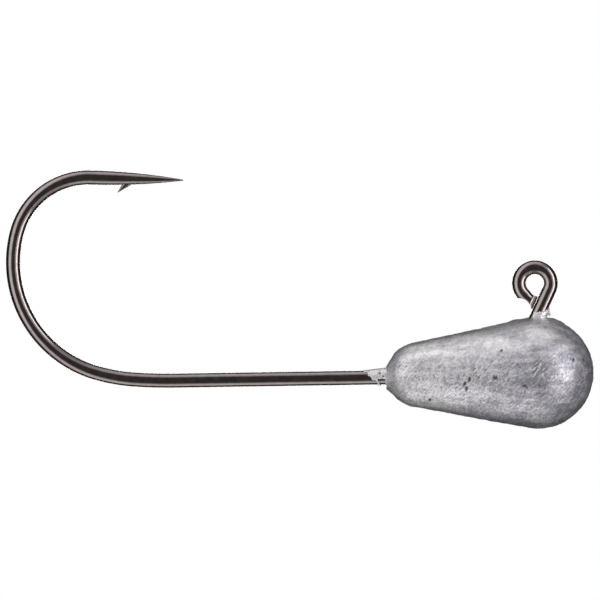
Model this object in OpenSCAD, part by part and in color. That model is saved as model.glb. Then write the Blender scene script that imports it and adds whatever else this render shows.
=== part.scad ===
// Jig head: a forged-wire jig hook with a teardrop lead weight cast round the front of its shank.
//
// Frame: the origin is the centre of the line eye, +X runs along the shank towards the nose,
// +Z is up, and the whole wire lies in the XZ plane. The jig rides with its point upwards.
// The wire is drawn as a bending program: feed a length, then bend it clockwise round a former.
// Each part is drawn in the plane of the wire and then stood upright.

/* [Wire] */
// Diameter of the hook wire
wire_d = 1.3; // [1.1:0.05:1.4]

/* [Line eye] */
// Radius of the eye to the middle of the wire
eye_r = 1.45; // [1.35:0.05:1.8]
// Height of the eye's centre above the shank's axis
eye_h = 8.45; // [7.8:0.05:10]
// Depth that the forming mandrel flattens inside the eye
land_depth = 0.04; // [0.03:0.01:0.08]
// Angle round the eye at which the wire's cut end stops
eye_end_a = 279; // [265:1:283]
// Gap left between the cut end and the arm
eye_gap = 0.2; // [0.1:0.05:0.4]
// Depth of the side cutter's bite on the outside of the cut end
nip_depth = 0.33; // [0.1:0.01:0.45]

/* [Arm and shank] */
// Angle between the arm and the shank
arm_a = 64.5; // [60:0.5:72]
// Radius of the jig bend, hidden in the lead
jig_bend_r = 2; // [1.5:0.25:2.5]
// Distance from the eye's centre back to where the hook bend begins
shank_end = 33.05; // [26:0.05:38]

/* [Hook bend] */
// Radius of the slow lead-in off the shank
lead_in_r = 49; // [40:1:60]
// Angle of the slow lead-in
lead_in_a = 4.5; // [4:0.5:6]
// Radius of the quicker sweep before the round bend
sweep_r = 17; // [13:0.5:20]
// Angle of the quicker sweep
sweep_a = 12; // [10:0.5:13]
// Radius of the round bend
round_r = 10.6; // [9.5:0.1:12]
// Angle of the round bend
round_a = 89.5; // [86:0.5:91]
// Radius of the tighter bend behind the point
crown_r = 6.8; // [6:0.1:8]
// Angle of the tighter bend
crown_a = 76.5; // [74:0.5:79]

/* [Point and barb] */
// Length of the spear from the bend to the tip
spear_l = 8.55; // [8.3:0.05:12]
// Length of the ground taper
taper_l = 8.2; // [7:0.1:8.2]
// Radius left at the tip
tip_r = 0.05; // [0.04:0.01:0.1]
// Distance from the tip to the front root of the barb
barb_root = 4.85; // [4:0.05:5.5]
// Length of the barb where it leaves the spear
barb_l = 0.85; // [0.7:0.05:1.2]
// Reach of the barb's tip below the spear's axis
barb_reach = 1.36; // [1.1:0.02:1.5]
// Distance that the barb's tip leans back past its back root
barb_lean = 0.36; // [0.2:0.02:0.6]
// Width of the barb at its root
barb_w = 0.62; // [0.4:0.02:0.7]

/* [Lead head] */
// Radius of the round nose
nose_r = 5.1; // [4.8:0.05:5.4]
// Radius of the round tail
tail_r = 2.95; // [2.6:0.05:3.2]
// Distance between the centres of the nose and the tail
head_l = 10.95; // [9:0.05:12]
// Distance of the nose's centre in front of the eye's centre
nose_x = 0.12; // [-0.2:0.02:0.4]
// Height of the head's axis above the shank's axis
head_rise = 0.2; // [0:0.05:0.4]

/* [Casting flash] */
// Thickness of the thin fin along the mould's parting line
fin_t = 0.16; // [0.1:0.02:0.3]
// Height that the fin stands proud of the head
fin_h = 0.07; // [0.04:0.01:0.12]
// Length of the lead skin that crept back along the shank
skin_l = 1.7; // [1:0.1:2.5]
// Length of the lead skin that crept up the arm
arm_skin_l = 0.7; // [0.4:0.05:1]
// Width of the flat end face of the tail
tail_face_d = 2.1; // [2:0.1:2.8]

/* [Hidden] */
$fn = 48;

wire_r = wire_d / 2;
land_r = eye_r - wire_r + land_depth;
head_z = head_rise - eye_h;

// The arm leaves the eye on a tangent and runs down to the shank's axis.
arm_start_a = arm_a - 90;
arm_drop = eye_h + eye_r * sin(arm_start_a);
arm_foot_x = eye_r * cos(arm_start_a) - arm_drop / tan(arm_a);
jig_setback = jig_bend_r * tan(arm_a / 2);
arm_l = arm_drop / sin(arm_a) - jig_setback;
shank_l = shank_end + arm_foot_x - jig_setback;

// Bending program from the foot of the eye to the spear: a straight is [length, 0] and a bend is
// [radius, angle].
program = [
    [arm_l, 0],
    [jig_bend_r, arm_a],
    [shank_l, 0],
    [lead_in_r, lead_in_a],
    [sweep_r, sweep_a],
    [round_r, round_a],
    [crown_r, crown_a],
];
steps_in_lead = 3;

// Every second stretch of wire is thinner by a few microns and laps into its neighbours, so that
// each joint is a clean step and not two surfaces that graze.
joint_step = 0.004;
joint_lap = 0.04;

// Place round the eye and radius of the side cutter's bite.
nip_a = 239;
nip_r = 1.13;

// Steps in which the ground taper is turned, and the radius of the barb's hollow leading edge.
taper_steps = 8;
barb_hollow_r = 3;

// Lead skins on the wire: depth of the root in the head, shift to the thicker side, and thickness
// at the root and at the feathered end.
shank_skin_root = 1.2;
shank_skin_shift = 0.27;
shank_skin_t = [0.24, 0.03];
shank_skin_tilt = 4.5;
arm_skin_root = 0.8;
arm_skin_shift = 0.2;
arm_skin_t = [0.22, 0.06];

// Length of the cone behind the tail's flat face, and its radius where it ends inside the tail.
tail_cone_l = 0.85;
tail_cone_r = 1.9;

function dir(a) = [cos(a), sin(a)];
function centre_of(p, h, s) = p + s[0] * dir(h - 90);
function end_of(p, h, s) =
    s[1] == 0 ? p + s[0] * dir(h) : centre_of(p, h, s) + s[0] * dir(h + 90 - s[1]);

// Place and heading of the wire after i steps of the program.
function wire_at(i) =
    i == 0 ? [eye_r * dir(arm_start_a), arm_a + 180]
    : let (w = wire_at(i - 1), s = program[i - 1]) [end_of(w[0], w[1], s), w[1] - s[1]];

module wire_straight(l, thin = false) {
    over = thin ? joint_lap : 0;
    translate([-over, 0]) rotate([0, 90, 0])
        cylinder(r = wire_r - (thin ? joint_step : 0), h = l + 2 * over);
}

// Arc of wire about the origin, from angle a0 round to a1.
module wire_arc(bend_r, a0, a1, thin = false) {
    over = thin ? joint_lap / bend_r * 180 / PI : 0;
    rotate(a0 - over)
        rotate_extrude(angle = a1 - a0 + 2 * over, $fn = max(96, 4 * bend_r))
            translate([bend_r, 0]) circle(r = wire_r - (thin ? joint_step : 0), $fn = 48);
}

module wire_run(steps) {
    for (i = [0 : steps - 1]) {
        p = wire_at(i)[0];
        h = wire_at(i)[1];
        s = program[i];
        if (s[1] == 0)
            translate(p) rotate(h) wire_straight(s[0], i % 2 == 1);
        else
            translate(centre_of(p, h, s)) wire_arc(s[0], h + 90 - s[1], h + 90, i % 2 == 1);
    }
}

// Eye loop, its end sheared off parallel to the arm and bitten by the cutter's round jaw outside.
module eye_loop() {
    difference() {
        wire_arc(eye_r, arm_start_a, eye_end_a, true);
        rotate(arm_start_a)
            translate([eye_r - wire_r - eye_gap, -3 * eye_r, -wire_d])
                cube([3 * eye_r, 3 * eye_r - wire_r / 4, 2 * wire_d]);
        rotate(nip_a)
            translate([eye_r + wire_r - nip_depth + nip_r, 0])
                cylinder(r = nip_r, h = 2 * wire_d, center = true);
    }
}

spear_start = wire_at(len(program));

// Spear along +X from its root: constant wire, then a long convex taper that meets it tangentially.
spear_r = wire_r - joint_step;
function taper_r(t) = tip_r + (spear_r - tip_r) * (1 - pow(1 - t, 2));

module spear() {
    rotate([0, 90, 0])
        rotate_extrude()
            polygon(concat(
                [[0, -joint_lap], [spear_r, -joint_lap]],
                [for (i = [taper_steps : -1 : 0])
                    [taper_r(i / taper_steps), spear_l - taper_l * i / taper_steps]],
                [[0, spear_l]]));
}

// Barb: a chisel-raised sliver that leans back and down, hollow on its leading edge.
module barb() {
    root_x = spear_l - barb_root;
    tip = [root_x - barb_l - barb_lean, -barb_reach];
    front = [root_x, -wire_r * 0.86];
    chord = front - tip;
    half = norm(chord) / 2;
    side = [chord[1], -chord[0]] / norm(chord);
    intersection() {
        linear_extrude(barb_w, center = true)
            difference() {
                polygon([[root_x - barb_l, 0], [root_x, 0], front, tip, [root_x - barb_l, -wire_r * 0.8]]);
                translate((front + tip) / 2 + side * sqrt(pow(barb_hollow_r, 2) - half * half))
                    circle(r = barb_hollow_r, $fn = 96);
            }
        rotate([90, 0, 90])
            linear_extrude(spear_l)
                polygon([
                    [-barb_reach * 1.02, -0.04], [-barb_reach * 1.02, 0.04],
                    [0, barb_w / 2 + 0.05], [0, -barb_w / 2 - 0.05]]);
    }
}

module hook() {
    color([0.16, 0.15, 0.16])
        rotate([90, 0, 0])
            difference() {
                union() {
                    eye_loop();
                    wire_run(len(program));
                    translate(spear_start[0]) rotate(spear_start[1]) {
                        spear();
                        barb();
                    }
                }
                cylinder(r = land_r, h = 2 * wire_d, center = true);
            }
}

// Outline of the teardrop, nose at the origin and tail down -Y, grown by a given amount.
module head_outline(grow) {
    lean = asin((nose_r - tail_r) / head_l);
    nose = (nose_r + grow) * [cos(lean), -sin(lean)];
    tail = [0, -head_l] + (tail_r + grow) * [cos(lean), -sin(lean)];
    circle(r = nose_r + grow, $fn = 96);
    translate([0, -head_l]) circle(r = tail_r + grow, $fn = 96);
    polygon([nose, tail, [-tail[0], tail[1]], [-nose[0], nose[1]]]);
}

module head_body() {
    rotate([0, 90, 0])
        rotate_extrude($fn = 96)
            intersection() {
                head_outline(0);
                translate([0, -head_l - nose_r]) square([2 * nose_r, head_l + 3 * nose_r]);
            }
}

module parting_fin() {
    linear_extrude(fin_t, center = true) rotate(-90) head_outline(fin_h);
}

// Distance down the arm from the eye to the skin of the nose.
function arm_to_nose() =
    let (w = wire_at(0), d = w[0] - [nose_x, head_z], along = d * dir(w[1]))
    -along - sqrt(nose_r * nose_r - (d * d - along * along));

// Skin of lead that crept back over the shank, thickest on top and dying out below.
module shank_skin() {
    translate([nose_x - head_l - tail_r + shank_skin_root, shank_skin_shift - eye_h])
        rotate(180 + shank_skin_tilt) rotate([0, 90, 0])
            cylinder(
                r1 = wire_r + shank_skin_t[0], r2 = wire_r + shank_skin_t[1],
                h = shank_skin_root + skin_l);
}

// Skin of lead that crept up the arm, thickest in front.
module arm_skin() {
    translate(wire_at(0)[0]) rotate(wire_at(0)[1])
        translate([arm_to_nose() - arm_skin_l, arm_skin_shift]) rotate([0, 90, 0])
            cylinder(
                r1 = wire_r + arm_skin_t[1], r2 = wire_r + arm_skin_t[0],
                h = arm_skin_l + arm_skin_root);
}

// Flat end of the tail, where the mould closes on the wire, level with the shank. Its cone runs
// into the round of the tail.
module tail_face() {
    translate([-head_l - tail_r, -head_rise / 2]) rotate([0, 90, 0])
        cylinder(r1 = tail_face_d / 2, r2 = tail_cone_r, h = tail_cone_l);
}

module lead_head() {
    color([0.62, 0.62, 0.65])
        rotate([90, 0, 0])
            difference() {
                union() {
                    translate([nose_x, head_z]) {
                        head_body();
                        tail_face();
                        parting_fin();
                    }
                    shank_skin();
                    arm_skin();
                }
                wire_run(steps_in_lead);
            }
}

hook();
lead_head();
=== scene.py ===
"""Looks of a jig head: a black nickel plated hook with a teardrop lead cast round its shank.

Lengths are in metres. The hook lies in the XZ plane with the centre of its line eye at the origin.
"""

import bpy
import numpy as np
from mathutils import Matrix, Vector


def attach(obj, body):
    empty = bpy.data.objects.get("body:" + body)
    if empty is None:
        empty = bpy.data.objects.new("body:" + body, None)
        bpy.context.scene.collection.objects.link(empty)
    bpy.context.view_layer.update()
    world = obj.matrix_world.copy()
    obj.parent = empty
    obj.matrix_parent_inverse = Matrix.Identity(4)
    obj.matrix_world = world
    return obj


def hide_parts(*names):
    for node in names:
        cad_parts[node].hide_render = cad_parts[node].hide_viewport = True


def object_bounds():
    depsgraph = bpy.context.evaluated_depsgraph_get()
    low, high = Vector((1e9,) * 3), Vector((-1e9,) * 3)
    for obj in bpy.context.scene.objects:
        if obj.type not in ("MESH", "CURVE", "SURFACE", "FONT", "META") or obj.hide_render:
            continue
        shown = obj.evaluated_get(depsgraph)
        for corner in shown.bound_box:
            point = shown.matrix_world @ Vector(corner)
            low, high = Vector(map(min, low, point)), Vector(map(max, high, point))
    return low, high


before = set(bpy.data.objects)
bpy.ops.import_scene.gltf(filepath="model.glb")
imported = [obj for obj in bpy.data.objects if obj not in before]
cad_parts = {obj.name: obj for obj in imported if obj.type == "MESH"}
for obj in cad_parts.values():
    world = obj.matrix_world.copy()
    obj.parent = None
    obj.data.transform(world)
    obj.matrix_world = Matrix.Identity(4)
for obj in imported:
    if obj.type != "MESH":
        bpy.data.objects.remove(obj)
CAD_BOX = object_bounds()

MM = 0.001

# Hook wire
WIRE_R = 0.65 * MM
EYE_R = 1.45 * MM
LAND_R = 0.84 * MM
EYE_H = 8.45 * MM
EYE_END = np.radians(279)
EYE_GAP = 0.02 * MM
ARM_A = np.radians(64.5)
ARM_START = ARM_A - np.pi / 2
JIG_BEND_R = 2 * MM
SHANK_END = 33.05 * MM
BEND_R = np.array([49, 17, 10.6, 6.8]) * MM
BEND_A = np.radians([4.5, 12, 89.5, 76.5])

# Side cutter's nip on the outside of the eye's end
NIP_A = np.radians(239)
NIP_R = 1.13 * MM
NIP_DEPTH = 0.33 * MM

# Sheared end of the eye: how far it falls back from its ridge, at distances from the wire's middle
END_SIDE = np.array([0, 0.12, 0.16, 0.24, 0.65]) * MM
END_BACK = np.array([0, 0.16, 0.3, 0.44, 0.48]) * MM

# How far the loop opens towards its cut end, and the angles between which it does
EYE_RELAX = 0.37 * MM
RELAX_A = np.radians([228, 279])

# Spear and barb
SPEAR_L = 8.55 * MM
TAPER_L = 8.2 * MM
TIP_R = 0.05 * MM
TIP_CAP = 0.02 * MM
BARB_ROOT = 4.85 * MM
BARB_L = 0.85 * MM
BARB_REACH = 1.36 * MM
BARB_LEAN = 0.36 * MM
BARB_W = 0.62 * MM

# Mesh of the hook: points round the wire, and rings on the cut, the eye, the bends and the spear
WIRE_SIDES = 72
CUT_RINGS = 29
EYE_RINGS = 130
BEND_RINGS = 560
SPEAR_RINGS = 121
ROUTE_STEP = 0.02 * MM
BARB_SIDES = 24
BARB_RINGS = 40

# Length along the wire that one unit of the UV map stands for, and the eye's length along it
UV_UNIT = 10 * MM
EYE_L = 7 * MM

# Lead head
NOSE_R = 5.1 * MM
TAIL_R = 2.95 * MM
HEAD_L = 10.95 * MM
NOSE_X = 0.12 * MM
HEAD_Z = -8.25 * MM
TAIL_X = NOSE_X - HEAD_L - TAIL_R
TAIL_FACE_R = 1.05 * MM
TAIL_FACE_DROP = 0.2 * MM
TAIL_SHOULDER_R = 1.95 * MM
HEAD_SIDES = 290
HEAD_RINGS = 340

# Pits of the casting, in millimetres: x, z, radius, depth, and how far a slanting one is drawn out
PITS = (
    (-6.15, -8.77, 0.14, 0.12, 0.4),
    (-6.22, -8.55, 0.06, 0.07, 0),
    (-6.59, -9.15, 0.14, 0.13, 0.5),
    (-6.43, -9.6, 0.15, 0.1, 0.2),
    (-5.73, -7.87, 0.06, 0.06, 1),
    (-5.55, -8.15, 0.05, 0.05, 0.8),
    (-8.7, -9.48, 0.06, 0.06, 0),
    (-7.37, -9.5, 0.07, 0.06, 0.4),
    (-7, -9.25, 0.05, 0.05, 0),
    (-3.78, -8.64, 0.2, 0.06, 0),
    (-3.65, -8.56, 0.08, 0.08, 0),
    (-1.05, -9.43, 0.13, 0.11, 0.3),
    (-0.82, -9.6, 0.07, 0.08, 0),
    (-1.25, -9.28, 0.05, 0.05, 0),
    (-3.16, -6.15, 0.1, 0.1, 0),
    (-9.83, -10.6, 0.1, 0.11, 0),
    (3.47, -7.09, 0.11, 0.08, 0),
    (4.4, -7.1, 0.08, 0.06, 0),
    (3.2, -6.95, 0.06, 0.05, 0.5),
)

# Pinholes on each face, and the least and most of their x, z, radius and depth in millimetres
PINHOLES = 46
PINHOLE_LEAST = [-11, -10.6, 0.04, 0.02]
PINHOLE_MOST = [3, -7.4, 0.08, 0.05]

# Depth at which a pit is fully darkened by grime and painted shade
GRIME_AND_SHADE_DEPTH = 0.04 * MM

# Unevenness and grain of the casting, in millimetres: seed, rise, size, octaves and waves
CASTING_RIPPLES = ((3, 0.035, 7, 2, 9), (4, 0.012, 1.3, 2, 9), (8, 0.012, 0.4, 3, 14))

# Ridge of the parting line, in millimetres: half width, mean rise, how far that varies, and most
PARTING_HALF_W = 0.09
PARTING_RISE = 0.045
PARTING_RAG = 0.05
PARTING_MOST = 0.075

# Lumps of flash beside the arm, in millimetres: rise, height over which it sets in above the
# middle, and each lump's x and half widths along and across
FLASH_RISE = 0.1
FLASH_SET_IN = 2
FLASH_LUMPS = ((-1.9, 0.5, 0.8), (1.75, 0.75, 1.2))

# Skins of lead on the wire: points round, rings, and the depth that a bare part sinks to
SKIN_SIDES = 150
SHANK_SKIN_RINGS = 140
ARM_SKIN_RINGS = 120
SUNK = 0.05 * MM

# Stretches of wire that the skins lie on, in millimetres back from the tail and down from the eye
SHANK_SPAN = (-0.7, 2.1)
ARM_SPAN = (1.1, 3.4)

# Ragged edge of the shank's skin and line of its strand, in millimetres: place on top of the wire,
# and how much nearer the tail below. Thickness everywhere, and more near the tail over a length.
SHANK_EDGE = (2.2, 1.55)
STRAND = (1.35, 0.75)
SHANK_COVER = 0.05
TAIL_COVER = 0.2
TAIL_COVER_L = 1.9

# Level that the arm's skin reaches up to behind, and how much higher in front, in millimetres
# above the eye's centre, and its thickness behind and how much more in front
ARM_LEVEL = -2.66
ARM_LEVEL_FRONT = 0.22
ARM_COVER = 0.07
ARM_COVER_FRONT = 0.13

# Holes in the shank's skin: place and half width along in millimetres, the same round as part of half a turn
SKIN_HOLES = ((0.62, 0.1, 0.33, 0.035), (0.3, 0.06, 0.45, 0.03))

# Crumbs on the arm's skin, in millimetres: x, y, z and size, and the seed of each one's shape
CRUMBS = (
    (1.22, -0.15, -2.42, 0.11, 31),
    (1.2, -0.2, -2.68, 0.15, 32),
    (1.1, 0.25, -2.6, 0.15, 33),
    (1.3, -0.05, -2.9, 0.13, 34),
)


# ---------------------------------------------------------------- mesh helpers

def add_piece(name, points, faces, uvs=None, crease=None):
    """Makes one mesh object from an array of points and lists of quads or triangles.

    It is shaded smooth, apart from the edges that turn by more than the crease angle in degrees.
    """
    mesh = bpy.data.meshes.new(name)
    mesh.from_pydata(points.reshape(-1, 3), [], faces)
    mesh.update()
    if uvs is not None:
        layer = mesh.uv_layers.new(name="UVMap")
        loops = np.empty(len(mesh.loops), dtype=np.int32)
        mesh.loops.foreach_get("vertex_index", loops)
        layer.data.foreach_set("uv", uvs.reshape(-1, 2)[loops].astype(np.float32).ravel())
    mesh.polygons.foreach_set("use_smooth", np.ones(len(mesh.polygons), dtype=bool))
    if crease:
        mesh.set_sharp_from_angle(angle=np.radians(crease))
    piece = bpy.data.objects.new(name, mesh)
    bpy.context.scene.collection.objects.link(piece)
    return piece


def tube_faces(rings, sides, first=0):
    """Quads of a tube of rings x sides points, plus a fan to one pole point at each end.

    The two poles follow the grid in the list of points: the first ring's, then the last ring's.
    """
    i = np.arange(rings - 1)[:, None] * sides
    j = np.arange(sides)[None, :]
    k = (j + 1) % sides
    quads = np.stack([i + j, i + k, i + sides + k, i + sides + j], -1).reshape(-1, 4)
    pole = rings * sides
    j = j[0]
    k = k[0]
    last = (rings - 1) * sides
    start = np.stack([np.full(sides, pole), k, j], -1)
    end = np.stack([np.full(sides, pole + 1), last + j, last + k], -1)
    return [*(quads + first).tolist(), *(start + first).tolist(), *(end + first).tolist()]


def round_angles(sides):
    """Even angles once round, without the last, which is the first again."""
    return np.linspace(0, 2 * np.pi, sides, endpoint=False)


def smoothstep(x, a, b):
    """Rises from 0 at a to 1 at b with a flat start and end."""
    t = np.clip((x - a) / (b - a), 0, 1)
    return t * t * (3 - 2 * t)


def ripple(seed, coords, size, octaves=4, waves=9):
    """Smooth pseudo-random field round zero.

    It is a sum of sine waves in fixed random directions, finer and weaker in each octave.
    """
    rng = np.random.default_rng(seed)
    out = np.zeros(coords.shape[:-1])
    for o in range(octaves):
        k = rng.normal(size=(waves, coords.shape[-1]))
        k *= 2 * np.pi / size * 2**o / np.linalg.norm(k, axis=1)[:, None]
        phase = rng.uniform(0, 2 * np.pi, waves)
        out += np.sin(coords @ k.T + phase).sum(-1) / waves / 1.6**o
    return out


# ---------------------------------------------------------------- hook

def unit(a):
    """Unit vectors in the hook's plane at an array of angles."""
    return np.stack([np.cos(a), np.sin(a)], -1)


def wire_route(step):
    """Middle line of the wire from the foot of the eye to the root of the spear.

    Each stretch has one curvature, so the heading is linear along it, and the place is the running
    sum of unit vectors along the heading. Returns lengths, places in the plane, and headings.
    """
    drop = EYE_H + EYE_R * np.sin(ARM_START)
    foot = EYE_R * np.cos(ARM_START) - drop / np.tan(ARM_A)
    setback = JIG_BEND_R * np.tan(ARM_A / 2)
    arm = drop / np.sin(ARM_A) - setback
    shank = SHANK_END + foot - setback
    lengths = np.array([arm, JIG_BEND_R * ARM_A, shank, *(BEND_R * BEND_A)])
    turns = np.array([0, ARM_A, 0, *BEND_A])
    knots = np.concatenate([[0], np.cumsum(lengths)])
    heads = ARM_A + np.pi - np.concatenate([[0], np.cumsum(turns)])
    s = np.linspace(0, knots[-1], int(knots[-1] / step) + 1)
    middle = (s[1:] + s[:-1]) / 2
    moves = unit(np.interp(middle, knots, heads)) * np.diff(s)[:, None]
    places = EYE_R * unit(ARM_START) + np.concatenate([[[0, 0]], np.cumsum(moves, 0)])
    return s, places, np.interp(s, knots, heads)


def eye_rings(ring):
    """Rings of the eye loop, from the middle of its cut end clockwise to the foot of the eye.

    Every line along the wire keeps its distance from the eye's centre and starts where it meets the
    cut: a ridge parallel to the arm, in the plane of the hook, from which the cut falls back on both
    sides in a sheared facet, a torn step and a second facet. The first rings grow from a point to
    the full wire and lie on the cut. Lines inside the mandrel's land are pushed out to it. Towards
    the cut the loop opens, so that every line moves outward along a smooth step, and points inside
    the side cutter's nip are pushed out of that round bite.
    """
    grow = np.concatenate([np.linspace(0.04, 1, CUT_RINGS + 1)[:-1], np.ones(EYE_RINGS)])[:, None]
    t = np.concatenate([np.zeros(CUT_RINGS), np.linspace(0, 1, EYE_RINGS)])[:, None]
    out = np.maximum(EYE_R + WIRE_R * grow * np.cos(ring), LAND_R)
    side = WIRE_R * grow * np.sin(ring)
    shear = EYE_R - WIRE_R - EYE_GAP - np.interp(np.abs(side), END_SIDE, END_BACK)
    # The place of the cut depends on how far the loop has opened there, so it is found in a few rounds.
    end_a = np.full_like(out, EYE_END)
    for _ in range(8):
        opened = out + EYE_RELAX * smoothstep(end_a, *RELAX_A)
        end_a = np.minimum(2 * np.pi + ARM_START - np.arccos(shear / opened), EYE_END)
    turn = end_a + t * (ARM_START - end_a)
    flat = unit(turn) * (out + EYE_RELAX * smoothstep(turn, *RELAX_A))[..., None]
    centre = (EYE_R + WIRE_R - NIP_DEPTH + NIP_R) * unit(NIP_A)
    away = flat - centre
    dist = np.linalg.norm(away, axis=-1, keepdims=True)
    flat = np.where(dist < NIP_R, centre + away * NIP_R / dist, flat)
    return np.stack([flat[..., 0], -side, flat[..., 1]], -1)


def taper(t):
    """Radius of the spear at the fraction t of its taper from the tip.

    It is a parabola that meets the full wire on a tangent.
    """
    return TIP_R + (WIRE_R - TIP_R) * (1 - (1 - np.clip(t, 0, 1)) ** 2)


def make_hook():
    """The bent wire as one swept surface, with the barb as a second closed surface rooted in it."""
    ring = round_angles(WIRE_SIDES)
    eye = eye_rings(ring)

    s, places, heads = wire_route(ROUTE_STEP)
    keep = np.linspace(0, len(s) - 1, BEND_RINGS).astype(int)[1:]
    s, places, heads = s[keep], places[keep], heads[keep]
    along = SPEAR_L * (1 - (1 - np.linspace(0, 1, SPEAR_RINGS)[1:]) ** 1.3)
    spear_places = places[-1] + along[:, None] * unit(heads[-1])
    radius = np.concatenate([np.full(len(s), WIRE_R), taper((SPEAR_L - along) / TAPER_L)])
    s = np.concatenate([s, s[-1] + along])
    places = np.concatenate([places, spear_places])
    heads = np.concatenate([heads, np.full(len(along), heads[-1])])

    # The outer side of every bend is on the left of the heading, as on the eye.
    normal = unit(heads + np.pi / 2)
    flat = places[:, None] + (radius[:, None] * np.cos(ring))[..., None] * normal[:, None]
    wire = np.stack([flat[..., 0], -radius[:, None] * np.sin(ring), flat[..., 1]], -1)
    wire = np.concatenate([eye, wire])

    tip = places[-1] + TIP_CAP * unit(heads[-1])
    cut = wire[0].mean(0)
    points = np.concatenate([wire.reshape(-1, 3), [cut], [[tip[0], 0, tip[1]]]])
    length = np.concatenate([np.linspace(-EYE_L, 0, len(eye)), s])
    uv = np.stack(np.broadcast_arrays(length[:, None] / UV_UNIT, ring / (2 * np.pi)), -1).reshape(-1, 2)
    uv = np.concatenate([uv, uv[[0, -1]]])
    faces = tube_faces(len(wire), WIRE_SIDES)

    barb, barb_faces, barb_uv = make_barb(places[-1], heads[-1], len(points))
    points = np.concatenate([points, barb])
    uv = np.concatenate([uv, barb_uv])
    return add_piece("hook_wire", points, faces + barb_faces, uv, crease=35)


def spear_frame(tip_heading):
    """Unit vectors in the plane: back along the spear from its tip, and down towards the shank."""
    back = -unit(tip_heading)
    return back, np.array([-back[1], back[0]]) * np.sign(-back[0])


def quadratic(corners, t):
    """Curve that leaves the first of three corners towards the second and arrives from it at the third."""
    return (1 - t) ** 2 * corners[0] + 2 * t * (1 - t) * corners[1] + t**2 * corners[2]


def make_barb(tip, heading, first):
    """The barb, lofted from its root in the spear to a sharp tip.

    Its front edge leaves the spear on a tangent and its back edge is nearly straight, both as
    quadratic curves, and each section between them is a lens that narrows towards the tip.
    Corners are given back along the spear from its tip, and down from its middle.
    """
    back, down = spear_frame(heading)
    point = [BARB_ROOT + BARB_L + BARB_LEAN, BARB_REACH]
    front = np.array([
        [BARB_ROOT - 0.5 * MM, 0.3 * MM],
        [BARB_ROOT + 0.25 * MM, 0.78 * MM],
        point,
    ])
    rear = np.array([
        [BARB_ROOT + 0.75 * BARB_L, 0.3 * MM],
        [BARB_ROOT + 1.1 * BARB_L, 0.85 * MM],
        point,
    ])
    t = np.linspace(0, 0.995, BARB_RINGS)[:, None]
    f = quadratic(front, t)
    r = quadratic(rear, t)
    ring = round_angles(BARB_SIDES)
    bow = np.sign(np.cos(ring)) * np.abs(np.cos(ring)) ** 0.7
    flat = (f + r)[:, None] / 2 + (f - r)[:, None] / 2 * bow[None, :, None]
    width = (BARB_W / 2) * (1 - t) ** 0.75 * np.sin(ring)
    xz = tip + flat[..., :1] * back + flat[..., 1:] * down
    grid = np.stack([xz[..., 0], width, xz[..., 1]], -1)
    ends = np.stack([grid[0].mean(0), grid[-1].mean(0)])
    points = np.concatenate([grid.reshape(-1, 3), ends])
    uv = np.stack(np.broadcast_arrays(t * 0.2, ring / 6), -1).reshape(-1, 2)
    faces = tube_faces(len(t), BARB_SIDES, first)
    return points, faces, np.concatenate([uv, uv[[0, -1]]])


# ---------------------------------------------------------------- lead head

def head_profile(count):
    """Outline of the teardrop from its tail to its nose.

    A round tail, a straight flank and a round nose each meet the next on a tangent. Returns the
    place along the axis from the nose's centre, the radius, and the outward normal's angle from
    the axis.
    """
    lean = np.arcsin((NOSE_R - TAIL_R) / HEAD_L)
    tail = TAIL_R * (np.pi / 2 - lean)
    flank = HEAD_L * np.cos(lean)
    nose = NOSE_R * (np.pi / 2 + lean)
    s = np.linspace(0, tail + flank + nose, count + 2)[1:-1]
    knots = [0, tail, tail + flank, tail + flank + nose]
    turn = np.interp(s, knots, [np.pi, np.pi / 2 + lean, np.pi / 2 + lean, 0])
    on_tail, on_nose = s < tail, s > tail + flank
    x = np.where(on_tail, -HEAD_L + TAIL_R * np.cos(turn), NOSE_R * np.cos(turn))
    r = np.where(on_tail, TAIL_R, NOSE_R) * np.sin(turn)
    mid = ~on_tail & ~on_nose
    u = (s - tail) / flank
    x = np.where(mid, (1 - u) * (-HEAD_L + TAIL_R * np.cos(turn)) + u * NOSE_R * np.cos(turn), x)
    r = np.where(mid, ((1 - u) * TAIL_R + u * NOSE_R) * np.sin(turn), r)
    return x, r, turn


def flatten_tail(points, ring):
    """Cuts the tail's end flat where the mould closes on the wire.

    The flat's rim runs straight into the round of the tail.
    """
    r = np.hypot(points[..., 1], points[..., 2] - HEAD_Z)
    face_r = TAIL_FACE_R - TAIL_FACE_DROP * np.sin(ring)
    depth = TAIL_R - np.sqrt(TAIL_R**2 - TAIL_SHOULDER_R**2)
    ramp = np.clip((r - face_r) / (TAIL_SHOULDER_R - face_r), 0, 1) * depth
    on = (r < TAIL_SHOULDER_R) & (points[..., 0] < TAIL_X + TAIL_R)
    flat = points.copy()
    flat[..., 0] = np.where(on, TAIL_X + ramp, points[..., 0])
    return flat


def pit(points, x, z, size, depth, side, slant=0):
    """Depth of a pit with steep walls and a low rim, centred at x and z on one side of the parting plane.

    It is round, or drawn out along a slanting line. Its outline is ragged: two waves and five waves
    round it, turned by the pit's place.
    """
    u = (points[..., 0] - x) / size
    w = (points[..., 2] - z) / size
    across = (u - w) / np.sqrt(2)
    along = (u + w) / np.sqrt(2) / (1 + slant)
    turn = np.arctan2(along, across)
    rag = 1 + 0.22 * np.sin(2 * turn + 900 * x / MM) + 0.15 * np.sin(5 * turn + 700 * z / MM)
    d = np.hypot(across, along) * rag
    shape = np.exp(-(d**4)) - 0.12 * np.exp(-(((d - 1.5) / 0.4) ** 2))
    return (points[..., 1] * side > 0) * depth * shape


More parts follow.
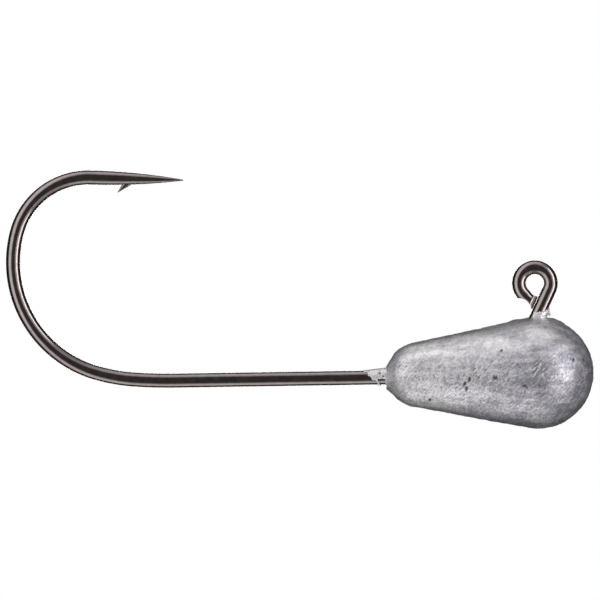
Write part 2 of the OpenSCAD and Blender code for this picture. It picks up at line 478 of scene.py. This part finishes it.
def casting_pits(points):
    """Depth of the pits at each point.

    The listed pits, a slanting scuffed group, a few single ones and shallow craters, are alike on
    both faces. The pinholes along the middle are scattered anew on each.
    """
    depth = np.zeros(points.shape[:-1])
    for side in (-1, 1):
        for x, z, size, deep, slant in PITS:
            depth += pit(points, x * MM, z * MM, size * MM, deep * MM, side, slant)
        rng = np.random.default_rng(20 + side)
        for x, z, size, deep in rng.uniform(PINHOLE_LEAST, PINHOLE_MOST, (PINHOLES, 4)) * MM:
            depth += pit(points, x, z, size, deep, side)
    return depth


def casting_marks(points):
    """How far the casting stands proud of the true teardrop, apart from its pits.

    The sum of slow unevenness, fine grain, the ragged ridge of the parting line, and the lumps of
    flash beside the arm.
    """
    x, y, z = np.moveaxis(points, -1, 0)
    uneven = 0
    for seed, rise, size, octaves, waves in CASTING_RIPPLES:
        uneven += rise * ripple(seed, points, size * MM, octaves, waves)
    ridge_rise = np.clip(PARTING_RISE + PARTING_RAG * ripple(5, points, 0.9 * MM), 0, PARTING_MOST)
    ridge = np.exp(-((y / (PARTING_HALF_W * MM)) ** 2)) * ridge_rise
    top = smoothstep(z, HEAD_Z, HEAD_Z + FLASH_SET_IN * MM)
    rag = 1 + 0.5 * ripple(6, points, 0.35 * MM, 3)
    lump = 0
    for centre, along, across in FLASH_LUMPS:
        out = ((x - centre * MM) / (along * MM)) ** 2
        lump += FLASH_RISE * np.exp(-out - (y / (across * MM)) ** 2)
    return (uneven + ridge + top * lump * rag) * MM


def make_head():
    """The teardrop as a surface of revolution, moved along its normals by the marks of casting.

    The points round it stand closer together at the parting line.
    """
    x, r, turn = head_profile(HEAD_RINGS)
    even = round_angles(HEAD_SIDES)
    ring = even + 0.15 * np.sin(2 * even)
    radial = np.stack([np.zeros(HEAD_SIDES), -np.cos(ring), np.sin(ring)], -1)
    axial = np.array([1.0, 0, 0])
    normal = np.sin(turn)[:, None, None] * radial + np.cos(turn)[:, None, None] * axial
    base = r[:, None, None] * radial + x[:, None, None] * axial + np.array([NOSE_X, 0, HEAD_Z])
    pits = casting_pits(base)
    move = casting_marks(base) - pits
    base = flatten_tail(base, ring)
    points = (base + move[..., None] * normal).reshape(-1, 3)
    poles = np.array([[TAIL_X, 0, HEAD_Z], [NOSE_X + NOSE_R, 0, HEAD_Z]])
    piece = add_piece("lead_casting", np.concatenate([points, poles]), tube_faces(len(x), HEAD_SIDES))
    # How dark each pit is painted, as grime and as the shade that falls in it
    grime_and_shade = np.concatenate([np.clip(pits / GRIME_AND_SHADE_DEPTH, 0, 1).ravel(), [0, 0]])
    values = piece.data.attributes.new("grime_and_shade", "FLOAT", "POINT").data
    values.foreach_set("value", grime_and_shade.astype(np.float32))
    return piece


def sleeve(axis_points, across, thickness, ring):
    """Closed skin round a stretch of wire.

    Each ring stands off the wire by its thickness, and sinks just under the wire's surface where
    the thickness is negative, so that the skin's ragged edge is where the two surfaces cross.
    """
    radius = WIRE_R + thickness
    up = radius * np.cos(ring)
    flat = axis_points[:, None] + up[..., None] * across
    grid = np.stack([flat[..., 0], -radius * np.sin(ring), flat[..., 1]], -1)
    ends = np.array([[x, 0, z] for x, z in (axis_points[0], axis_points[-1])])
    return np.concatenate([grid.reshape(-1, 3), ends])


def make_shank_skin():
    """Lead that crept back along the shank, thickest on top and feathered to a slanting ragged edge.

    It is chipped off below, where a strand of it crosses the bare underside and ends in a bead. Its
    thickness is a cover that thins to the back, times a mask of smooth steps with small round holes.
    """
    ring = round_angles(SKIN_SIDES)
    s = np.linspace(*SHANK_SPAN, SHANK_SKIN_RINGS)[:, None] * MM
    turn = np.minimum(ring, 2 * np.pi - ring) / np.pi
    place = np.stack(np.broadcast_arrays(s, WIRE_R * np.cos(ring), WIRE_R * np.sin(ring)), -1)
    rag = ripple(11, place, 0.5 * MM, 4)
    fine = ripple(12, place, 0.22 * MM, 3)
    edge = (SHANK_EDGE[0] - SHANK_EDGE[1] * turn + 0.22 * rag) * MM
    strand = (STRAND[0] - STRAND[1] * turn) * MM
    thinning = np.clip(1 - s / (TAIL_COVER_L * MM), 0, 1)
    cover = (SHANK_COVER + TAIL_COVER * thinning * (0.55 + 0.45 * np.cos(ring))) * MM
    cover = cover + (0.02 * rag + 0.022 * fine) * MM
    inside = 1 - smoothstep(s, edge - 0.05 * MM, edge + 0.05 * MM)
    before_strand = 1 - smoothstep(s, strand - 0.14 * MM, strand - 0.06 * MM)
    bare = smoothstep(turn + 0.03 * fine, 0.53, 0.58) * smoothstep(s, 0.06 * MM, 0.16 * MM) * before_strand
    past_strand = smoothstep(s, strand + 0.04 * MM, strand + 0.1 * MM)
    bare = np.maximum(bare, smoothstep(turn, 0.6, 0.66) * past_strand)
    hole = 0
    for at, half, round_at, round_half in SKIN_HOLES:
        out = ((s - at * MM) / (half * MM)) ** 2
        hole = hole + np.exp(-out - ((turn - round_at) / round_half) ** 2)
    keep = inside * (1 - bare) * np.clip(1 - 1.6 * hole, 0, 1)
    bead = np.exp(-(((s - 0.72 * MM) / (0.12 * MM)) ** 2) - ((turn - 0.95) / 0.12) ** 2)
    bead = 0.13 * MM * bead * (ring < np.pi * 1.1)
    thickness = keep * cover - (1 - keep) * SUNK + bead
    axis_points = np.concatenate([TAIL_X - s, np.full_like(s, -EYE_H)], 1)
    points = sleeve(axis_points, np.array([0, 1.0]), thickness, -ring)
    return add_piece("shank_skin", points, tube_faces(len(s), SKIN_SIDES))


def make_arm_skin():
    """Crumbly lead round the foot of the arm, up to a ragged level line.

    It is thickest in front, with loose crumbs on it.
    """
    ring = round_angles(SKIN_SIDES)
    s = np.linspace(*ARM_SPAN, ARM_SKIN_RINGS)[:, None] * MM
    axis_points = EYE_R * unit(ARM_START) - s * unit(ARM_A)
    across = np.array([np.sin(ARM_A), -np.cos(ARM_A)])
    front = np.cos(ring)
    level = axis_points[:, 1:] + WIRE_R * front * across[1]
    place = np.stack(np.broadcast_arrays(s, WIRE_R * front, WIRE_R * np.sin(ring)), -1)
    rag = ripple(14, place, 0.45 * MM, 4)
    fine = ripple(15, place, 0.18 * MM, 3)
    edge = (ARM_LEVEL + 0.1 * rag + ARM_LEVEL_FRONT * smoothstep(front, 0.3, 1)) * MM
    below_edge = 1 - smoothstep(level, edge - 0.05 * MM, edge + 0.04 * MM)
    keep = below_edge * smoothstep(front + 0.2 * rag, -0.75, -0.55)
    cover = ARM_COVER + ARM_COVER_FRONT * smoothstep(front, -0.2, 1)
    cover = (cover + 0.03 * rag + 0.035 * fine) * MM
    thickness = keep * cover - (1 - keep) * SUNK
    points = [sleeve(axis_points, across, thickness, ring)]
    faces = tube_faces(len(s), SKIN_SIDES)
    for x, y, z, size, seed in CRUMBS:
        first = sum(len(p) for p in points)
        crumb, crumb_faces = make_crumb(np.array([x, y, z]) * MM, size * MM, seed, first)
        points.append(crumb)
        faces += crumb_faces
    return add_piece("arm_skin", np.concatenate(points), faces)


def make_crumb(centre, size, seed, first):
    """Small angular lump: a ball whose radius is pushed in and out by coarse ripples."""
    polar = np.linspace(0, np.pi, 16)[1:-1, None]
    ring = round_angles(24)
    across = np.sin(polar)
    ball = np.stack(np.broadcast_arrays(across * np.cos(ring), across * np.sin(ring), np.cos(polar)), -1)
    ball = np.concatenate([ball.reshape(-1, 3), [[0, 0, 1], [0, 0, -1]]])
    swell = 1 + 0.55 * ripple(seed, ball, 2.2, 3)
    faces = [face[::-1] for face in tube_faces(len(polar), len(ring), first)]
    return centre + size * swell[:, None] * ball, faces


# ---------------------------------------------------------------- nodes

def new_material(name):
    """An empty node material with a Principled shader wired to its output."""
    material = bpy.data.materials.new(name)
    material.use_nodes = True
    nodes = material.node_tree.nodes
    nodes.clear()
    shader = nodes.new("ShaderNodeBsdfPrincipled")
    output = nodes.new("ShaderNodeOutputMaterial")
    material.node_tree.links.new(shader.outputs[0], output.inputs[0])
    return material, shader


def add_node(owner, kind, inputs=(), **settings):
    """Adds a node to a material or world, sets its properties, and sets or links its inputs."""
    node = owner.node_tree.nodes.new(kind)
    for key, value in settings.items():
        setattr(node, key, value)
    for key, value in dict(inputs).items():
        socket = node.inputs[key]
        if isinstance(value, bpy.types.NodeSocket):
            owner.node_tree.links.new(value, socket)
        else:
            socket.default_value = value
    return node


def noise(material, coords, size, detail=4, roughness=0.55):
    """Noise whose largest features are about size metres across."""
    inputs = {"Vector": coords, "Scale": 1 / size, "Detail": detail, "Roughness": roughness}
    return add_node(material, "ShaderNodeTexNoise", inputs).outputs["Fac"]


def spread(owner, value, low, high, span=(0.3, 0.7), smooth=False):
    """Maps a value from the given span onto low to high, in a straight line or as a smooth step."""
    inputs = {"Value": value, "From Min": span[0], "From Max": span[1], "To Min": low, "To Max": high}
    kind = "SMOOTHSTEP" if smooth else "LINEAR"
    return add_node(owner, "ShaderNodeMapRange", inputs, interpolation_type=kind).outputs[0]


def tint(material, value, dark, light):
    """Mixes two colours, either of which may be another node's, by a value."""
    ends = [c if isinstance(c, bpy.types.NodeSocket) else (*c, 1) for c in (dark, light)]
    inputs = {"Factor": value, 6: ends[0], 7: ends[1]}
    return add_node(material, "ShaderNodeMix", inputs, data_type="RGBA").outputs[2]


def combine(owner, operation, a, b):
    """One step of arithmetic on two values."""
    return add_node(owner, "ShaderNodeMath", {0: a, 1: b}, operation=operation).outputs[0]


def add_product(owner, a, b, total):
    """The total plus the product of two values."""
    return add_node(owner, "ShaderNodeMath", {0: a, 1: b, 2: total}, operation="MULTIPLY_ADD").outputs[0]


def reach(owner, coords, direction):
    """How far coordinates reach along a direction, times the direction's length."""
    inputs = {0: coords, 1: direction}
    return add_node(owner, "ShaderNodeVectorMath", inputs, operation="DOT_PRODUCT").outputs["Value"]


def near(material, coords, centre, inner, outer):
    """1 within the inner distance of a place, falling to 0 at the outer one, all in millimetres."""
    inputs = {0: coords, 1: tuple(c * MM for c in centre)}
    away = add_node(material, "ShaderNodeVectorMath", inputs, operation="DISTANCE").outputs["Value"]
    return spread(material, away, 1, 0, (inner * MM, outer * MM))


def stretched(material, coords, size, lean=0):
    """Coordinates in which a box of the given size is one unit, leaning in the plane of the hook."""
    inputs = {"Vector": coords, "Rotation": (0, lean, 0), "Scale": size}
    return add_node(material, "ShaderNodeMapping", inputs, vector_type="TEXTURE").outputs[0]


def slanted(material, coords, length, width):
    """Coordinates stretched into strokes that lean up to the right in the plane of the hook."""
    return stretched(material, coords, (length, 0.5 * MM, width), STROKE_LEAN)


def bump(material, height, strength, distance, under=None, invert=False):
    """Normal bent by a height, over an earlier bump if there is one."""
    inputs = {"Height": height, "Strength": strength, "Distance": distance}
    if under is not None:
        inputs["Normal"] = under
    return add_node(material, "ShaderNodeBump", inputs, invert=invert).outputs[0]


# ---------------------------------------------------------------- finishes

# Warm dark of the plating, and the same where it is thinner
PLATE_DARK = (0.245, 0.213, 0.206)
PLATE_LIGHT = (0.315, 0.276, 0.265)

# Dark and light grey of the casting and of its thin skins, and the colour of grime and painted shade in the
# pits
LEAD_DARK = (0.31, 0.30, 0.36)
LEAD_LIGHT = (0.9, 0.88, 0.905)
SKIN_DARK = (0.75, 0.74, 0.76)
SKIN_LIGHT = (1.0, 0.99, 1.0)
GRIME_AND_SHADE = (0.12, 0.11, 0.13)

# Sizes of the lead's patterns: length and width of a stroke, and a streak's size along each axis
CLOUD = 2.4 * MM
BLOTCH = 0.8 * MM
GRAIN = 0.19 * MM
PORE = 0.15 * MM
SCUFF = (0.7 * MM, 0.09 * MM)
GOUGE = (1.1 * MM, 0.13 * MM)
STREAK = (4 * MM, 1 * MM, 0.6 * MM)
STROKE_LEAN = -0.75

# Heights between which grain, scuffs and pores grow fainter, and what is left of them above
TOP_FADE = (-7.8 * MM, -6.4 * MM)
TOP_LEFT = 0.5

# Scuffed spot with gouges in it, and the darker patch round it, partly wear and partly painted shade, in
# millimetres
SCUFFED_SPOT = (0.2, -5, -7.95)
WORN_AND_SHADED_SPOT = (-0.4, -5, -8.5)


def black_nickel():
    """Polished black nickel plating: a dark warm mirror.

    It has faint drawing lines along the wire and a slightly uneven gloss.
    """
    material, shader = new_material("black_nickel")
    links = material.node_tree.links
    place = add_node(material, "ShaderNodeTexCoord").outputs["Object"]
    along = add_node(material, "ShaderNodeUVMap", uv_map="UVMap").outputs[0]
    lines = add_node(material, "ShaderNodeMapping", {"Vector": along, "Scale": (6, 90, 1)}).outputs[0]
    drawn = noise(material, lines, 1, 3)
    cloud = noise(material, place, 0.5 * MM, 3)
    speck = noise(material, place, 0.06 * MM, 2)
    plate = tint(material, spread(material, cloud, 0, 1), PLATE_DARK, PLATE_LIGHT)
    normal = bump(material, drawn, 0.25, 0.004 * MM)
    normal = bump(material, speck, 0.2, 0.004 * MM, normal)
    shader.inputs["Metallic"].default_value = 1
    links.new(plate, shader.inputs["Base Color"])
    links.new(spread(material, cloud, 0.13, 0.21), shader.inputs["Roughness"])
    links.new(normal, shader.inputs["Normal"])
    return material


def cast_lead(name, dark, light, pore_dirt_and_shade):
    """Bare cast lead: soft metal, mottled between two greys, finely pored, its pits and pores darkened by
    grime and painted shade.

    Its grey is a sum of patterns: blotches, grain and slanting scuffs, streaks along the casting, a
    slow painted shade that darkens it down and towards the nose, and one gouged spot in a darker patch
    of wear and painted shade. Grain, scuffs and pores are fainter on top. Seen edgewise it is glossier,
    as rough metal is at a glancing angle.
    """
    material, shader = new_material(name)
    links = material.node_tree.links
    place = add_node(material, "ShaderNodeTexCoord").outputs["Object"]
    height = add_node(material, "ShaderNodeSeparateXYZ", {0: place}).outputs["Z"]
    cloud = noise(material, place, CLOUD, 3)
    blotch = noise(material, place, BLOTCH, 4, 0.6)
    grain = noise(material, place, GRAIN, 3, 0.75)
    pores = spread(material, noise(material, place, PORE, 2), 0, 1, (0.57, 0.68))
    scuffs = noise(material, slanted(material, place, *SCUFF), 1, 2)
    gouges = noise(material, slanted(material, place, *GOUGE), 1, 1)
    streaks = noise(material, stretched(material, place, STREAK), 1, 3)

    scuffed = near(material, place, SCUFFED_SPOT, 0.4, 1.2)
    gouged = combine(material, "MULTIPLY", spread(material, gouges, -0.4, 0.9, (0.44, 0.6)), scuffed)
    # Darker patch by the scuffed spot: partly wear, partly painted shade of the dark band between the flank
    # and the nose's highlight
    worn_and_shaded = near(material, place, WORN_AND_SHADED_SPOT, 0.5, 2.8)
    smoother = spread(material, height, 1, TOP_LEFT, TOP_FADE)
    grey = combine(
        material,
        "ADD",
        spread(material, grain, -0.34, 0.3, (0.37, 0.63)),
        spread(material, scuffs, -0.22, 0.26, (0.38, 0.62)),
    )
    grey = combine(material, "MULTIPLY", grey, smoother)
    for part in (
        spread(material, blotch, 0.3, 0.6, (0.36, 0.64)),
        spread(material, streaks, -0.2, 0.2, (0.38, 0.62)),
        # Painted shade: lighter up and towards the tail, darker down and towards the nose
        spread(material, reach(material, place, (1, 0, -1.2)), 0.2, -0.2, (2 * MM, 14 * MM)),
        spread(material, worn_and_shaded, 0, -0.25, (0, 1)),
        gouged,
    ):
        grey = combine(material, "ADD", grey, part)

    # Pits and pores are painted darker, as grime and as the shade that falls in them
    grime_and_shade = add_node(material, "ShaderNodeAttribute", attribute_name="grime_and_shade").outputs["Fac"]
    dirt_and_shade = combine(material, "MULTIPLY", spread(material, pores, 0, pore_dirt_and_shade, (0, 1)), smoother)
    dirt_and_shade = combine(material, "MAXIMUM", dirt_and_shade, grime_and_shade)
    metal = tint(material, dirt_and_shade, tint(material, grey, dark, light), GRIME_AND_SHADE)

    edgewise = add_node(material, "ShaderNodeLayerWeight").outputs["Facing"]
    gloss = spread(material, edgewise, 0, 0.18, (0.55, 0.85))
    rough = combine(material, "SUBTRACT", spread(material, cloud, 0.4, 0.52), gloss)

    normal = bump(material, blotch, 0.5, 0.04 * MM)
    normal = bump(material, grain, 0.8, 0.03 * MM, normal)
    normal = bump(material, pores, 0.5, 0.02 * MM, normal, invert=True)
    normal = bump(material, combine(material, "ADD", scuffs, gouged), 0.5, 0.02 * MM, normal)

    shader.distribution = "GGX"
    shader.inputs["Metallic"].default_value = 0.75
    links.new(metal, shader.inputs["Base Color"])
    links.new(rough, shader.inputs["Roughness"])
    links.new(normal, shader.inputs["Normal"])
    return material


# ---------------------------------------------------------------- studio

OBJECT_MIDDLE = Vector(((CAD_BOX[0][0] + CAD_BOX[1][0]) / 2, 0, (CAD_BOX[0][2] + CAD_BOX[1][2]) / 2))
FLOOR_Z = CAD_BOX[0][2]
FLOOR_HALF = 1.5

# Camera: width of its view, its place, and the slight lean at which the jig lies
VIEW_W = 55.2 * MM
CAMERA_PLACE = (-21.63 * MM, -0.4, -1.21 * MM)
VIEW_LEAN = np.radians(-0.88)

# Ring of soft light: half width, half height and soft rim of the dark round the camera
DARK_WIDE = np.sin(np.radians(32))
DARK_HIGH = np.sin(np.radians(62))
DARK_RIM = 0.2

# Angles from the camera's side between which the ring fades out behind, and how that changes
# with the square of the way sideways and with the way up
BACK_EDGE = np.radians([96, 117])
SIDE_CUT = 0.55
HIGH_REACH = 0.08

# Dimming towards the corners: its start and end as sideways times upward part, what is left of
# the light there, and how much of the dimming reaches the lower left corner
CORNER_START = 0.13
CORNER_END = 0.42
CORNER_LEFT = 0.4
LEFT_CORNER = 0.6

# Brightness of the ring, how it leans, and the faint light in its dark middle and behind
RING_LEVEL = 1.3
RING_LEAN = (-0.3, 0, -0.05)
DIM_LEVEL = 0.05
BACK_LEVEL = 0.03
RING_COLOUR = (1, 0.99, 0.985, 1)

# Soft boxes: name, direction from the object, width, height and radiance
SOFTBOX_DISTANCE = 0.4
SOFTBOXES = (
    ("strip_right", (0.885, -0.465, 0.1), 0.11, 0.6, 4.1),
    ("fill_back", (0, 1, 0.01), 0.1, 0.1, 9),
)


def make_camera():
    """Long square-on view along +Y."""
    data = bpy.data.cameras.new("camera")
    data.type = "ORTHO"
    data.ortho_scale = VIEW_W
    data.clip_start = 0.01
    data.clip_end = 10
    camera = bpy.data.objects.new("camera", data)
    bpy.context.scene.collection.objects.link(camera)
    turn = Matrix.Rotation(np.pi / 2, 4, "X") @ Matrix.Rotation(VIEW_LEAN, 4, "Z")
    camera.matrix_world = Matrix.Translation(CAMERA_PLACE) @ turn
    bpy.context.scene.camera = camera


def make_world():
    """A wide ring of soft light round the line of sight, and plain white to look at.

    The ring is dark round the camera and behind the object. The dark round the camera is an
    upright ellipse, measured by the length of a direction's sideways and upward parts over the
    ellipse's half axes. The light rises across its soft rim and falls again behind the object,
    sooner at the sides than below, and last above. It is a little stronger to the left and below,
    and dimmed towards the corners, apart from the upper left one, and less at the lower left.
    """
    world = bpy.data.worlds.new("studio")
    bpy.context.scene.world = world
    world.use_nodes = True
    world.node_tree.nodes.clear()
    towards = add_node(world, "ShaderNodeTexCoord").outputs["Generated"]
    parts = add_node(world, "ShaderNodeSeparateXYZ", {0: towards}).outputs
    sideways = parts["X"]
    upward = parts["Z"]

    axes = {0: towards, 1: (1 / DARK_WIDE, 0, 1 / DARK_HIGH)}
    shrunk = add_node(world, "ShaderNodeVectorMath", axes, operation="MULTIPLY").outputs[0]
    outward = add_node(world, "ShaderNodeVectorMath", {0: shrunk}, operation="LENGTH").outputs["Value"]
    rise = spread(world, outward, 0, 1, (1 - DARK_RIM, 1 + DARK_RIM), smooth=True)

    from_back = reach(world, towards, (0, -1, 0))
    from_back = add_product(world, combine(world, "POWER", sideways, 2), -SIDE_CUT, from_back)
    from_back = add_product(world, upward, HIGH_REACH, from_back)
    fall = spread(world, from_back, 0, 1, (np.cos(BACK_EDGE[1]), np.cos(BACK_EDGE[0])), smooth=True)

    height = add_node(world, "ShaderNodeMath", {0: upward}, operation="ABSOLUTE").outputs[0]
    right = combine(world, "MULTIPLY", sideways, height)
    left = combine(world, "MULTIPLY", combine(world, "MULTIPLY", sideways, upward), LEFT_CORNER)
    corner = combine(world, "MAXIMUM", right, left)
    kept = spread(world, corner, 1, CORNER_LEFT, (CORNER_START, CORNER_END), smooth=True)

    level = combine(world, "ADD", reach(world, towards, RING_LEAN), RING_LEVEL)
    ring = add_product(world, combine(world, "MULTIPLY", rise, kept), level, DIM_LEVEL)
    glow = add_product(world, ring, fall, BACK_LEVEL)

    seen = add_node(world, "ShaderNodeLightPath").outputs["Is Camera Ray"]
    light = add_node(world, "ShaderNodeBackground", {"Color": RING_COLOUR, "Strength": glow}).outputs[0]
    white = add_node(world, "ShaderNodeBackground", {"Color": (1, 1, 1, 1), "Strength": 1}).outputs[0]
    mix = add_node(world, "ShaderNodeMixShader", {0: seen, 1: light, 2: white}).outputs[0]
    add_node(world, "ShaderNodeOutputWorld", {"Surface": mix})


def add_softbox(name, direction, width, height, radiance):
    """Rectangular soft light that faces the middle of the object from a direction."""
    data = bpy.data.lights.new(name, "AREA")
    data.shape = "RECTANGLE"
    data.size = width
    data.size_y = height
    data.energy = radiance * np.pi * width * height
    light = bpy.data.objects.new(name, data)
    bpy.context.scene.collection.objects.link(light)
    towards = Vector(direction).normalized()
    light.location = OBJECT_MIDDLE + towards * SOFTBOX_DISTANCE
    light.rotation_euler = towards.to_track_quat("Z", "Y").to_euler()
    light.visible_camera = False


def make_floor():
    """A pale floor under the object, with an even glow that lifts it towards the white of the backdrop."""
    corners = np.array([[-1.0, -1, 0], [1, -1, 0], [1, 1, 0], [-1, 1, 0]]) * FLOOR_HALF
    corners += [OBJECT_MIDDLE.x, 0, FLOOR_Z]
    floor = add_piece("floor", corners, [[0, 1, 2, 3]])
    material, shader = new_material("pale_floor")
    shader.inputs["Base Color"].default_value = (0.8, 0.8, 0.8, 1)
    shader.inputs["Roughness"].default_value = 0.9
    shader.inputs["Emission Color"].default_value = (1, 1, 1, 1)
    shader.inputs["Emission Strength"].default_value = 0.62
    floor.data.materials.append(material)
    floor.visible_glossy = False
    floor.visible_diffuse = False
    floor.visible_shadow = False


# ---------------------------------------------------------------- put together

def put_on(piece, material, node=None):
    """Gives a finished piece its material in a new slot and its body, and hides the CAD node that it stands
    for.
    """
    piece.data.materials.append(material)
    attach(piece, "root")
    if node:
        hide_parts(node)


make_camera()
make_world()
for softbox in SOFTBOXES:
    add_softbox(*softbox)
make_floor()

plating = black_nickel()
lead = cast_lead("cast_lead", LEAD_DARK, LEAD_LIGHT, 0.5)
skin = cast_lead("lead_skin", SKIN_DARK, SKIN_LIGHT, 0.3)
put_on(make_hook(), plating, "hook")
put_on(make_head(), lead, "lead_head")
put_on(make_shank_skin(), skin)
put_on(make_arm_skin(), skin)

bpy.context.scene.view_settings.view_transform = "Standard"
